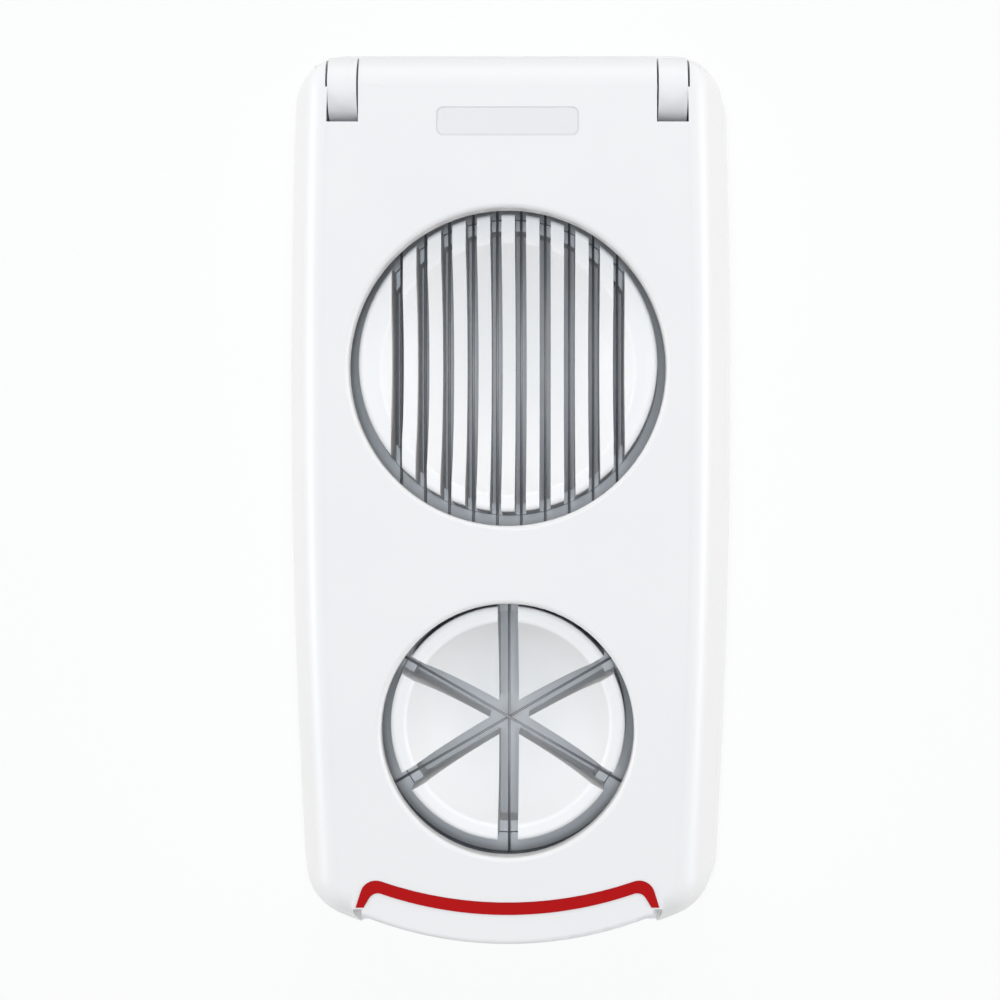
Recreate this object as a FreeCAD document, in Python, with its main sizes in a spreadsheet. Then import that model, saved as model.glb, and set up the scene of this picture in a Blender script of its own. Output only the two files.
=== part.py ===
import FreeCAD, Part
import math
import os

import Sketcher
from FreeCAD import Placement, Rotation, Vector

# Two-station egg slicer: a base with a slotted slicing cup and a slotted wedging cup, and a
# hinged lid that carries the cutting wires. Millimetres, +Z up, hinge at +Y, thumb tab at -Y,
# origin on the table under the middle of the closed slicer.

SLICING_WIRES = 10
WEDGING_WIRES = 3

SIZES = {
    # room about the two collars, which gives the body its length and width
    "hinge_setback": 12.3,
    "rear_room": 18.9,
    "station_gap": 6.2,
    "front_room": 14.9,
    "side_room": 7.95,
    # outline of the body
    "side_radius": 1735.0,
    "front_radius": 94.0,
    "front_corner": 11.5,
    "rear_corner": 10.5,
    # base
    "base_height": 16.0,
    "base_wall": 2.2,
    "base_flare": 2.25,
    "saddle_height": 2.8,
    "rib_depth": 6.0,
    "rib_wall": 1.6,
    "rib_inset": 1.5,
    "rear_rib_gap": 4.0,
    # lid
    "lid_gap": 0.3,
    "lid_height": 18.7,
    "lid_wall": 2.2,
    "lid_lean": 5.0,
    "lid_edge": 4.5,
    "opening_edge": 1.0,
    "lip_depth": 4.8,
    "plate_length": 28.6,
    "plate_width": 5.8,
    "plate_corner": 1.4,
    "plate_depth": 0.3,
    "plate_reach": 7.3,
    # hinge
    "knuckle_radius": 6.7,
    "knuckle_inset": 15.15,
    "knuckle_width": 5.8,
    "knuckle_gap": 0.4,
    "notch_room": 0.7,
    "barrel_wall": 2.2,
    "cheek_wall": 2.6,
    "cheek_boss": 5.2,
    "cheek_web": 9.0,
    "pin_radius": 1.5,
    "pin_grip": 7.0,
    "pin_play": 0.04,
    "press_play": 0.01,
    # slicing station
    "slicer_cup_radius": 30.2,
    "slicer_opening_gap": 1.7,
    "slicer_rim_front_height": 15.0,
    "slicer_rim_rear_height": 11.2,
    "slice_pitch": 5.0,
    "slice_slot_width": 2.3,
    "slice_slot_depth": 9.0,
    # wedging station
    "wedger_cup_radius": 23.6,
    "wedger_opening_gap": 1.8,
    "wedger_rim_height": 15.0,
    "wedge_slot_width": 4.1,
    "wedge_slot_depth": 12.5,
    # both cups
    "cup_shift": 1.2,
    "cup_draft": 0.7,
    "cup_floor": 2.2,
    "cup_wall": 1.6,
    "cup_flange": 2.6,
    "cup_flange_wall": 1.6,
    "cup_play": 0.15,
    "rim_width": 3.0,
    "rim_round": 1.0,
    "slot_below_wire": 1.5,
    "bowl_over_wire": 1.1,
    # wires and the frame that they are strung in
    "wire_radius": 0.25,
    "wire_height": 0.95,
    "wire_step": 0.56,
    "wire_play": 0.15,
    "bead_radius": 0.8,
    "bead_length": 2.4,
    "bead_gap": 0.05,
    "slicer_collar_room": 3.4,
    "wedger_collar_room": 1.6,
    "collar_wall": 2.2,
    "collar_top": 3.8,
    "lip_play": 0.05,
    "bridge_width": 40.0,
    "bridge_wall": 2.4,
    "bridge_height": 5.0,
    # thumb tab and the red strip behind it
    "tab_setback": 1.3,
    "tab_radius": 78.0,
    "tab_inset": 16.25,
    "tab_wall": 3.4,
    "tab_gap": 1.8,
    "tab_root": 14.7,
    "tab_edge": 1.0,
    "notch_setback": 6.7,
    "recess_setback": 2.8,
    "strip_setback": 9.8,
    "strip_width": 2.5,
    "strip_depth": 1.5,
    "strip_proud": 0.2,
    "strip_inset": 0.8,
    "strip_leg": 1.6,
    "strip_leg_length": 6.4,
    "strip_splay": 2.0,
    "strip_bend": 3.2,
    "strip_inner_bend": 2.0,
    "strip_play": 0.03,
    "strip_end_gap": 0.3,
    # feet
    "foot_height": 1.0,
    "foot_radius": 4.6,
    "foot_stem": 3.2,
    "foot_stem_height": 2.6,
    "foot_side_inset": 9.5,
    "foot_end_inset": 18.0,
    "foot_boss_wall": 2.0,
    "foot_play": 0.05,
}

doc = FreeCAD.newDocument("egg_slicer")
sheet = doc.addObject("Spreadsheet::Sheet", "Sizes")


class Size:
    """A number together with the sheet formula that gives it."""

    def __init__(self, number, formula):
        self.number = number
        self.formula = formula

    def __add__(self, other):
        other = as_size(other)
        return Size(self.number + other.number, f"({self.formula} + {other.formula})")

    def __radd__(self, other):
        return as_size(other) + self

    def __sub__(self, other):
        other = as_size(other)
        return Size(self.number - other.number, f"({self.formula} - {other.formula})")

    def __rsub__(self, other):
        return as_size(other) - self

    def __mul__(self, other):
        other = as_size(other)
        return Size(self.number * other.number, f"({self.formula} * {other.formula})")

    def __rmul__(self, other):
        return as_size(other) * self

    def __truediv__(self, other):
        other = as_size(other)
        return Size(self.number / other.number, f"({self.formula} / {other.formula})")

    def __neg__(self):
        return Size(-self.number, f"(-{self.formula})")


def as_size(value):
    """A plain number becomes a size whose formula is that number."""
    if isinstance(value, Size):
        return value
    return Size(float(value), f"({float(value)!r})")


def root(size):
    return Size(math.sqrt(size.number), f"sqrt({size.formula})")


def fill_sheet():
    """Write the driving dimensions into the sheet and hand back a size for each."""
    sizes = {}
    for row, (alias, number) in enumerate(SIZES.items(), start=1):
        sheet.set(f"A{row}", alias)
        sheet.set(f"B{row}", str(number))
        sheet.setAlias(f"B{row}", alias)
        sizes[alias] = Size(number, f"Sizes.{alias}")
    doc.recompute()
    return sizes


def origin_plane(body, role):
    for feature in body.Origin.OriginFeatures:
        if feature.Role == role:
            return feature
    raise ValueError(f"no origin feature {role}")


def bind(target, path, size):
    """Tie one property of an object to the sheet."""
    target.setExpression(path, as_size(size).formula)


def new_body(label):
    body = doc.addObject("PartDesign::Body", label)
    body.Label = label
    return body


def new_sketch(body, name, role, offset=0.0, up=0.0):
    """A sketch on an origin plane of its body, moved along the plane's normal and up in it."""
    offset, up = as_size(offset), as_size(up)
    sketch = body.newObject("Sketcher::SketchObject", name)
    sketch.AttachmentSupport = (origin_plane(body, role), [""])
    sketch.MapMode = "FlatFace"
    sketch.AttachmentOffset = Placement(Vector(0, up.number, offset.number), Rotation())
    bind(sketch, "AttachmentOffset.Base.y", up)
    bind(sketch, "AttachmentOffset.Base.z", offset)
    return sketch


def constrain(sketch, size, kind, *where):
    """Add one dimension to a sketch and tie it to the sheet."""
    size = as_size(size)
    index = sketch.addConstraint(Sketcher.Constraint(kind, *where, size.number))
    bind(sketch, f"Constraints[{index}]", size)


def pin_point(sketch, edge, end, x, y):
    """Hold one point of an edge at x, y."""
    constrain(sketch, x, "DistanceX", -1, 1, edge, end)
    constrain(sketch, y, "DistanceY", -1, 1, edge, end)


def draw_circle(sketch, x, y, radius):
    centre = Vector(as_size(x).number, as_size(y).number, 0)
    edge = sketch.addGeometry(Part.Circle(centre, Vector(0, 0, 1), radius.number), False)
    constrain(sketch, radius, "Radius", edge)
    pin_point(sketch, edge, 3, x, y)


def arc_between(start, end, radius, turn):
    """Arc from start to end: turn +1 runs anticlockwise, -1 clockwise."""
    half = (end - start) * 0.5
    rise = math.sqrt(max(radius * radius - half.Length * half.Length, 0.0))
    side = Vector(-half.y, half.x, 0).normalize() * (rise * turn)
    centre = start + half + side
    first, last = (start, end) if turn > 0 else (end, start)
    angles = [math.atan2(p.y - centre.y, p.x - centre.x) for p in (first, last)]
    return Part.ArcOfCircle(Part.Circle(centre, Vector(0, 0, 1), radius), *angles)


def draw_outline(sketch, corners, arcs=None):
    """A closed outline through the corners; arcs maps an edge's number to (radius, turn)."""
    arcs = arcs or {}
    corners = [(as_size(x), as_size(y)) for x, y in corners]
    spots = [Vector(x.number, y.number, 0) for x, y in corners]
    count = len(corners)
    ends = []
    for i in range(count):
        start, end = spots[i], spots[(i + 1) % count]
        if i in arcs:
            radius, turn = arcs[i]
            edge = sketch.addGeometry(arc_between(start, end, radius.number, turn), False)
            ends.append((edge, 1, 2) if turn > 0 else (edge, 2, 1))
        else:
            edge = sketch.addGeometry(Part.LineSegment(start, end), False)
            ends.append((edge, 1, 2))
    for i in range(count):
        edge, first, last = ends[i]
        after, after_first, _ = ends[(i + 1) % count]
        sketch.addConstraint(Sketcher.Constraint("Coincident", edge, last, after, after_first))
    for i, (x, y) in enumerate(corners):
        pin_point(sketch, ends[i][0], ends[i][1], x, y)
    for i, (radius, _) in arcs.items():
        constrain(sketch, radius, "Radius", ends[i][0])


def draw_box(sketch, left, right, low, high):
    draw_outline(sketch, [(left, low), (right, low), (right, high), (left, high)])


def extrude(body, kind, name, sketch, length, side="One side", reverse=False):
    """A Pad or Pocket of a sketch that has to change the solid."""
    before = body.Shape.Volume if body.Tip else 0.0
    feature = body.newObject(f"PartDesign::{kind}", name)
    feature.Profile = sketch
    feature.Type = "Length"
    feature.SideType = side
    feature.Reversed = reverse
    feature.Length = as_size(length).number
    bind(feature, "Length", length)
    finish_feature(body, feature, before)
    return feature


def pad(body, name, sketch, length, side="One side", reverse=False):
    return extrude(body, "Pad", name, sketch, length, side, reverse)


def pocket(body, name, sketch, length, side="One side", reverse=False):
    return extrude(body, "Pocket", name, sketch, length, side, reverse)


def finish_feature(body, feature, before):
    """Recompute one feature and stop if it failed or changed nothing."""
    body.Tip = feature
    doc.recompute()
    if "Invalid" in feature.State or "Error" in feature.State or feature.Shape.isNull():
        raise RuntimeError(f"{body.Label}: {feature.Label} failed")
    if abs(feature.Shape.Volume - before) < 1e-6:
        raise RuntimeError(f"{body.Label}: {feature.Label} changed nothing")


def round_edges(body, name, radius, chosen):
    """Fillet the edges of the body for which chosen(edge) is true."""
    base = body.Tip
    names = [f"Edge{i}" for i, edge in enumerate(base.Shape.Edges, start=1) if chosen(edge)]
    feature = body.newObject("PartDesign::Fillet", name)
    feature.Base = (base, names)
    feature.Radius = as_size(radius).number
    bind(feature, "Radius", radius)
    finish_feature(body, feature, base.Shape.Volume)
    return feature


def repeat_mirrored(body, name, originals, role):
    before = body.Shape.Volume
    feature = body.newObject("PartDesign::Mirrored", name)
    feature.Originals = originals
    feature.MirrorPlane = (origin_plane(body, role), [""])
    finish_feature(body, feature, before)
    return feature


def repeat_for_wires(body, name, original, sketch):
    """Repeat a feature sideways, once for each slicing wire."""
    before = body.Shape.Volume
    row = body.newObject("PartDesign::LinearPattern", name)
    row.Originals = [original]
    row.Direction = (sketch, ["H_Axis"])
    row.Occurrences = SLICING_WIRES
    bind(row, "Length", s["slice_pitch"] * (SLICING_WIRES - 1))
    finish_feature(body, row, before)


def lay_along(round_bar, turn, x, y, z, back):
    """Lay an upright bar level at an angle to X, starting the given distance back from x, y, z."""
    angle = math.radians(turn)
    along = Vector(math.cos(angle), math.sin(angle), 0)
    spot = [as_size(x) - back * along.x, as_size(y) - back * along.y, as_size(z)]
    round_bar.Placement = Placement(Vector(*[size.number for size in spot]), Rotation(Vector(0, 0, 1), along))
    for axis, size in zip("xyz", spot):
        bind(round_bar, f"Placement.Base.{axis}", size)


def draw_plan(sketch):
    """Plan at the parting line: bowed sides, a bowed front, a straight rear, rounded corners."""
    bow, nose = s["side_radius"].number, nose_radius.number
    front_round, rear_round = s["front_corner"].number, s["rear_corner"].number
    side_centre = Vector(plan_half.number - bow, slicer_y.number, 0)
    nose_centre = Vector(0, nose_y.number, 0)

    def side_x(y, inset):
        return side_centre.x + math.sqrt((bow - inset) ** 2 - (y - side_centre.y) ** 2)

    # a corner's centre lies where the side and the front, both moved in by its radius, cross
    corner_y = nose_centre.y - nose
    for _ in range(80):
        across = side_x(corner_y, front_round)
        corner_y = nose_centre.y - math.sqrt((nose - front_round) ** 2 - across ** 2)
    front_spot = Vector(side_x(corner_y, front_round), corner_y, 0)
    rear_spot_y = plan_rear_y.number - rear_round
    rear_spot = Vector(side_x(rear_spot_y, rear_round), rear_spot_y, 0)

    def touch(centre, spot, radius):
        return centre + (spot - centre).normalize() * radius

    ends = [touch(nose_centre, front_spot, nose), touch(side_centre, front_spot, bow),
            touch(side_centre, rear_spot, bow), Vector(rear_spot.x, plan_rear_y.number, 0)]
    ends += [Vector(-p.x, p.y, 0) for p in reversed(ends)]
    radii = [front_round, bow, rear_round, None, rear_round, bow, front_round, nose]
    edges = []
    for i, radius in enumerate(radii):
        start, end = ends[i], ends[(i + 1) % len(ends)]
        shape = arc_between(start, end, radius, 1) if radius else Part.LineSegment(start, end)
        edges.append(sketch.addGeometry(shape, False))
    for i, edge in enumerate(edges):
        after = edges[(i + 1) % len(edges)]
        sketch.addConstraint(Sketcher.Constraint("Tangent", edge, 2, after, 1))
    reach = s["side_radius"] - plan_half
    for i, centre_x in ((1, -reach), (5, reach)):
        constrain(sketch, s["side_radius"], "Radius", edges[i])
        pin_point(sketch, edges[i], 3, centre_x, slicer_y)
    for i, corner in ((0, "front_corner"), (6, "front_corner"), (2, "rear_corner"), (4, "rear_corner")):
        constrain(sketch, s[corner], "Radius", edges[i])
    constrain(sketch, nose_radius, "Radius", edges[7])
    pin_point(sketch, edges[7], 3, 0.0, nose_y)
    sketch.addConstraint(Sketcher.Constraint("Horizontal", edges[3]))
    constrain(sketch, plan_rear_y, "DistanceY", -1, 1, edges[3], 1)


def lean_faces(body, name, chosen, low_z, height, lean):
    """Tip faces of the body in about a level plane, by a distance over a height."""
    base = body.Tip
    names = [f"Face{i}" for i, face in enumerate(base.Shape.Faces, start=1)
             if any(face.isSame(other) for other in chosen)]
    parting = body.newObject("PartDesign::Plane", f"{name}_parting")
    parting.AttachmentSupport = (origin_plane(body, "XY_Plane"), [""])
    parting.MapMode = "FlatFace"
    bind(parting, "AttachmentOffset.Base.z", low_z)
    doc.recompute()
    draft = body.newObject("PartDesign::Draft", name)
    draft.Base = (base, names)
    draft.NeutralPlane = (parting, [""])
    bind(draft, "Angle", Size(0.0, f"atan({lean.formula} / {height.formula})"))
    finish_feature(body, draft, base.Shape.Volume)


def leaning_block(body, name, low_z, height, lean, downward):
    """A block on the plan whose sides lean by the given distance over its height."""
    sketch = new_sketch(body, f"{name}_plan", "XY_Plane", low_z)
    draw_plan(sketch)
    doc.recompute()
    block = pad(body, name, sketch, height, reverse=downward)
    far_z = low_z.number + (-height.number if downward else height.number)

    def is_side(face):
        box = face.BoundBox
        spans = abs(box.ZMin - min(low_z.number, far_z)) + abs(box.ZMax - max(low_z.number, far_z))
        return spans < 1e-4

    sides = [face for face in block.Shape.Faces if is_side(face)]
    lean_faces(body, f"{name}_lean", sides, low_z, height, lean)


def hollow_below(body, wall):
    """Thin the housing to a wall and leave it open below."""
    base = body.Tip
    lowest = base.Shape.BoundBox.ZMin
    faces = [f"Face{i}" for i, face in enumerate(base.Shape.Faces, start=1)
             if abs(face.CenterOfMass.z - lowest) < 1e-4]
    feature = body.newObject("PartDesign::Thickness", "hollow")
    feature.Base = (base, faces)
    feature.Mode = "Skin"
    feature.Join = "Intersection"
    feature.Reversed = True
    feature.Value = wall.number
    bind(feature, "Value", wall)
    finish_feature(body, feature, base.Shape.Volume)


s = fill_sheet()

# places that several pieces share
slicer_opening = s["slicer_cup_radius"] + s["slicer_opening_gap"]
wedger_opening = s["wedger_cup_radius"] + s["wedger_opening_gap"]
slicer_collar = slicer_opening + s["slicer_collar_room"]
wedger_collar = wedger_opening + s["wedger_collar_room"]
slicer_outside = slicer_collar + s["collar_wall"]
wedger_outside = wedger_collar + s["collar_wall"]
half_length = (s["hinge_setback"] + s["rear_room"] + s["station_gap"] + s["front_room"]) / 2 \
    + slicer_outside + wedger_outside
hinge_y = half_length - s["hinge_setback"]
slicer_y = hinge_y - s["rear_room"] - slicer_outside
wedger_y = slicer_y - slicer_outside - s["station_gap"] - wedger_outside
front_y = -half_length
rim_z = s["foot_height"]
deck_z = rim_z + s["base_height"]
lid_low_z = deck_z + s["lid_gap"]
lid_top_z = lid_low_z + s["lid_height"]
hinge_z = lid_top_z - s["knuckle_radius"]
wire_z = lid_low_z + s["wire_height"]
# the plan at the parting line, from which the base flares down and the lid leans in
plan_half = slicer_outside + s["side_room"]
tab_half = plan_half - s["tab_inset"]
notch_half = tab_half + s["tab_gap"]
plan_rear_y = half_length - s["base_flare"]
nose_radius = s["front_radius"] - s["base_flare"]
nose_y = root(s["front_radius"] * s["front_radius"] - notch_half * notch_half) - half_length
slicer_cup_y = slicer_y + s["cup_shift"]
wedger_cup_y = wedger_y + s["cup_shift"]
slicer_cup_foot = s["slicer_cup_radius"] + s["cup_draft"]
wedger_cup_foot = s["wedger_cup_radius"] + s["cup_draft"]
deck_low_z = deck_z - s["base_wall"]
slot_floor_z = wire_z - s["slot_below_wire"]
bowl_z = wire_z + s["bowl_over_wire"]
knuckle_inner = plan_half - s["knuckle_inset"]
barrel_half = knuckle_inner - s["knuckle_gap"]
notch_outer = knuckle_inner + s["knuckle_width"] + s["knuckle_gap"]
collar_height = s["lid_height"] - s["collar_top"]
strip_half = tab_half - s["strip_inset"]
strip_arc_y = front_y + s["strip_setback"] + s["tab_radius"]
strip_corner_y = strip_arc_y - root(s["tab_radius"] * s["tab_radius"] - strip_half * strip_half)
strip_end_y = strip_corner_y - s["strip_leg_length"]
foot_x = plan_half - s["foot_side_inset"]
foot_y = half_length - s["foot_end_inset"]
beyond = plan_half * 2 + s["base_flare"] * 2


def arc_y(centre_y, radius, x):
    """Height of the front half of an arc about x = 0, at x."""
    return centre_y - root(radius * radius - x * x)


def make_base_shell():
    body = new_body("base_shell")
    leaning_block(body, "tray", deck_z, s["base_height"], s["base_flare"], True)
    hollow_below(body, s["base_wall"])

    # the rear rises behind the lid and is cut to a saddle about the hinge axis
    rise = s["saddle_height"]
    leaning_block(body, "saddle", deck_z, rise, s["lid_lean"] * rise / s["lid_height"], False)
    radius = hinge_z - deck_z
    top_z = deck_z + rise * 2
    drop = hinge_z - top_z
    sketch = new_sketch(body, "saddle_side", "YZ_Plane")
    far_y = front_y * 2
    draw_outline(sketch, [(far_y, deck_z), (hinge_y, deck_z),
                          (hinge_y + root(radius * radius - drop * drop), top_z), (far_y, top_z)],
                 {1: (radius, 1)})
    doc.recompute()
    pocket(body, "saddle_cut", sketch, beyond * 2, "Symmetric")

    # flat finger recess across the front, closed by a wall of its own
    recess_y = front_y + s["recess_setback"]
    sketch = new_sketch(body, "recess_wall_plan", "XY_Plane", rim_z)
    draw_box(sketch, -notch_half, notch_half, recess_y, recess_y + s["base_wall"])
    doc.recompute()
    pad(body, "recess_wall", sketch, s["base_height"] - s["base_wall"] / 2)
    sketch = new_sketch(body, "recess_plan", "XY_Plane", deck_z)
    draw_box(sketch, -notch_half, notch_half, front_y * 2, recess_y)
    doc.recompute()
    pocket(body, "recess", sketch, s["base_height"] * 2, "Symmetric")

    # round sockets that the two cups are pushed up into
    sketch = new_sketch(body, "cup_socket_plan", "XY_Plane", deck_z)
    draw_circle(sketch, 0.0, slicer_cup_y, slicer_cup_foot + s["cup_play"])
    draw_circle(sketch, 0.0, wedger_cup_y, wedger_cup_foot + s["cup_play"])
    doc.recompute()
    pocket(body, "cup_sockets", sketch, s["base_wall"] * 2, "Symmetric")

    # ribs under the deck, one between the cups and one behind the slicing cup
    rib_half = plan_half - s["rib_inset"]
    between_y = (slicer_cup_y - slicer_cup_foot + wedger_cup_y + wedger_cup_foot) / 2
    behind_y = slicer_cup_y + slicer_cup_foot + s["cup_flange"] + s["rear_rib_gap"]
    sketch = new_sketch(body, "rib_plan", "XY_Plane", deck_low_z - s["rib_depth"])
    for rib_y in (between_y, behind_y):
        draw_box(sketch, -rib_half, rib_half, rib_y - s["rib_wall"] / 2, rib_y + s["rib_wall"] / 2)
    doc.recompute()
    pad(body, "ribs", sketch, s["rib_depth"] + s["base_wall"] / 2)

    # bosses and blind sockets for the four feet
    socket = s["foot_stem"] + s["foot_play"]
    spots = [(x, y) for x in (-foot_x, foot_x) for y in (-foot_y, foot_y)]
    sketch = new_sketch(body, "foot_boss_plan", "XY_Plane", rim_z)
    for x, y in spots:
        draw_circle(sketch, x, y, socket + s["foot_boss_wall"])
    doc.recompute()
    pad(body, "foot_bosses", sketch, s["base_height"] - s["base_wall"] / 2)
    sketch = new_sketch(body, "foot_socket_plan", "XY_Plane", rim_z)
    for x, y in spots:
        draw_circle(sketch, x, y, socket)
    doc.recompute()
    pocket(body, "foot_sockets", sketch, s["foot_stem_height"] + s["foot_play"], reverse=True)

    # hinge knuckles, round about the axis, with a running bore for the pins
    radius = s["knuckle_radius"]
    root_z = deck_z - s["base_wall"] / 2
    sketch = new_sketch(body, "knuckle_side", "YZ_Plane", knuckle_inner)
    draw_outline(sketch, [(hinge_y - radius, root_z), (hinge_y + radius, root_z),
                          (hinge_y + radius, hinge_z), (hinge_y, hinge_z + radius),
                          (hinge_y - radius, hinge_z)], {2: (radius, 1), 3: (radius, 1)})
    doc.recompute()
    right = pad(body, "knuckle", sketch, s["knuckle_width"])
    repeat_mirrored(body, "both_knuckles", [right], "YZ_Plane")
    sketch = new_sketch(body, "pin_bore_side", "YZ_Plane")
    draw_circle(sketch, hinge_y, hinge_z, s["pin_radius"] + s["pin_play"])
    doc.recompute()
    pocket(body, "pin_bores", sketch, beyond * 2, "Symmetric")
    return body


def revolved_cup(body, cup_y, foot, rim, rim_z, depth_below):
    """A flanged bowl, turned about the vertical through its middle."""
    flange = foot + s["cup_flange"]
    floor_z = wire_z - depth_below - s["cup_floor"]
    flange_z = deck_low_z - s["cup_flange_wall"]
    mouth = rim - s["rim_width"]
    depth = rim_z - bowl_z
    sphere = (depth * depth + mouth * mouth) / (depth * 2)
    sketch = new_sketch(body, "bowl_section", "XZ_Plane", -cup_y)
    draw_outline(sketch, [(0.0, floor_z), (foot, floor_z), (foot, flange_z), (flange, flange_z),
                          (flange, deck_low_z), (foot, deck_low_z), (rim, rim_z), (mouth, rim_z),
                          (0.0, bowl_z)], {7: (sphere, -1)})
    doc.recompute()
    turn = body.newObject("PartDesign::Revolution", "bowl")
    turn.Profile = sketch
    turn.ReferenceAxis = (sketch, ["V_Axis"])
    turn.Angle = 360.0
    finish_feature(body, turn, 0.0)


def draw_slot(sketch, x, width, radius):
    """A slot along Y at x, with both ends on a circle about the middle."""
    left, right = x - width / 2, x + width / 2
    left_y = root(radius * radius - left * left)
    right_y = root(radius * radius - right * right)
    draw_outline(sketch, [(left, -left_y), (right, -right_y), (right, right_y), (left, left_y)],
                 {0: (radius, 1), 2: (radius, 1)})


def rim_edges(rim_front_z, rim_rear_z, cup_y, reach):
    """A test for the edges that lie in the rim's plane, level or tilted."""
    slope = (rim_rear_z.number - rim_front_z.number) / (2 * reach.number)

    def chosen(edge):
        if edge.Degenerated or isinstance(edge.Curve, Part.Line):
            return False
        spots = edge.discretize(5)
        heights = [rim_front_z.number + slope * (p.y - cup_y.number + reach.number) for p in spots]
        return max(abs(p.z - h) for p, h in zip(spots, heights)) < 1e-3

    return chosen


def make_slicing_cup():
    body = new_body("slicing_cup")
    front_z = wire_z + s["slicer_rim_front_height"]
    rear_z = wire_z + s["slicer_rim_rear_height"]
    reach = slicer_cup_foot + s["cup_flange"]
    revolved_cup(body, slicer_cup_y, slicer_cup_foot, s["slicer_cup_radius"], front_z, s["slice_slot_depth"])

    # the rim drops towards the hinge, to let the lid swing past
    sketch = new_sketch(body, "rim_side", "YZ_Plane")
    near, far = slicer_cup_y - reach, slicer_cup_y + reach
    draw_outline(sketch, [(near, front_z), (far, rear_z), (far, front_z + reach), (near, front_z + reach)])
    doc.recompute()
    pocket(body, "rim_slope", sketch, reach * 4, "Symmetric")

    # one slot for each wire
    first_x = s["slice_pitch"] * (-(SLICING_WIRES - 1) / 2)
    sketch = new_sketch(body, "slot_plan", "XY_Plane", slot_floor_z, slicer_cup_y)
    draw_box(sketch, first_x - s["slice_slot_width"] / 2, first_x + s["slice_slot_width"] / 2, -reach, reach)
    doc.recompute()
    slot = pocket(body, "slot", sketch, front_z - slot_floor_z + s["rim_round"], reverse=True)
    repeat_for_wires(body, "slots", slot, sketch)

    # between the walls the slots go deeper, so that nothing stops the wires
    sketch = new_sketch(body, "deep_slot_plan", "XY_Plane", slot_floor_z, slicer_cup_y)
    for number in range(SLICING_WIRES):
        x = s["slice_pitch"] * (number - (SLICING_WIRES - 1) / 2)
        draw_slot(sketch, x, s["slice_slot_width"], s["slicer_cup_radius"] - s["cup_wall"])
    doc.recompute()
    pocket(body, "deep_slots", sketch, s["slice_slot_depth"] - s["slot_below_wire"])
    round_edges(body, "rim_rounds", s["rim_round"], rim_edges(front_z, rear_z, slicer_cup_y, reach))
    return body


def make_wedging_cup():
    body = new_body("wedging_cup")
    rim_z = wire_z + s["wedger_rim_height"]
    reach = wedger_cup_foot + s["cup_flange"]
    revolved_cup(body, wedger_cup_y, wedger_cup_foot, s["wedger_cup_radius"], rim_z, s["wedge_slot_depth"])

    # a slot across the whole cup for each wire, turned about the middle, and deeper between the walls
    sketch = new_sketch(body, "slot_plan", "XY_Plane", slot_floor_z, wedger_cup_y)
    draw_box(sketch, -s["wedge_slot_width"] / 2, s["wedge_slot_width"] / 2, -reach, reach)
    doc.recompute()
    slot = pocket(body, "slot", sketch, rim_z - slot_floor_z + s["rim_round"], reverse=True)
    sketch = new_sketch(body, "deep_slot_plan", "XY_Plane", slot_floor_z, wedger_cup_y)
    draw_slot(sketch, as_size(0.0), s["wedge_slot_width"], s["wedger_cup_radius"] - s["cup_wall"])
    doc.recompute()
    deep_slot = pocket(body, "deep_slot", sketch, s["wedge_slot_depth"] - s["slot_below_wire"])
    before = body.Shape.Volume
    star = body.newObject("PartDesign::PolarPattern", "slots")
    star.Originals = [slot, deep_slot]
    star.Axis = (sketch, ["N_Axis"])
    star.Angle = 180.0 - 180.0 / WEDGING_WIRES
    star.Occurrences = WEDGING_WIRES
    finish_feature(body, star, before)
    round_edges(body, "rim_rounds", s["rim_round"], rim_edges(rim_z, rim_z, wedger_cup_y, reach))
    return body


def strip_outline(play):
    """Corners and arcs of the red strip, drawn in by the play all round."""
    radius = s["tab_radius"]
    rear, front = strip_arc_y - play, strip_arc_y - s["strip_width"] + play
    half, leg = strip_half - play, s["strip_leg"] - play * 2
    inner = half - leg
    foot = half + s["strip_splay"]
    end_y = strip_end_y + play
    right = [(half, arc_y(rear, radius, half)), (foot, end_y), (foot - leg, end_y),
             (inner, arc_y(front, radius, inner))]
    left = [(-x, y) for x, y in reversed(right)]
    return right + left, {3: (radius, -1), 7: (radius, 1)}


def round_strip(body, play):
    """Bend the strip's outline where its legs turn down, outside and inside."""
    corners, _ = strip_outline(play)
    for name, radius, numbers in (("strip_bends", s["strip_bend"], (0, 7)),
                                  ("strip_inner_bends", s["strip_inner_bend"], (3, 4))):
        spots = [(corners[i][0].number, corners[i][1].number) for i in numbers]

        def stands_there(edge):
            box = edge.BoundBox
            return box.ZLength > 1.0 and any(
                abs(box.XMin - x) + abs(box.XMax - x) + abs(box.YMin - y) + abs(box.YMax - y) < 1e-3
                for x, y in spots)

        round_edges(body, name, radius, stands_there)


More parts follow.
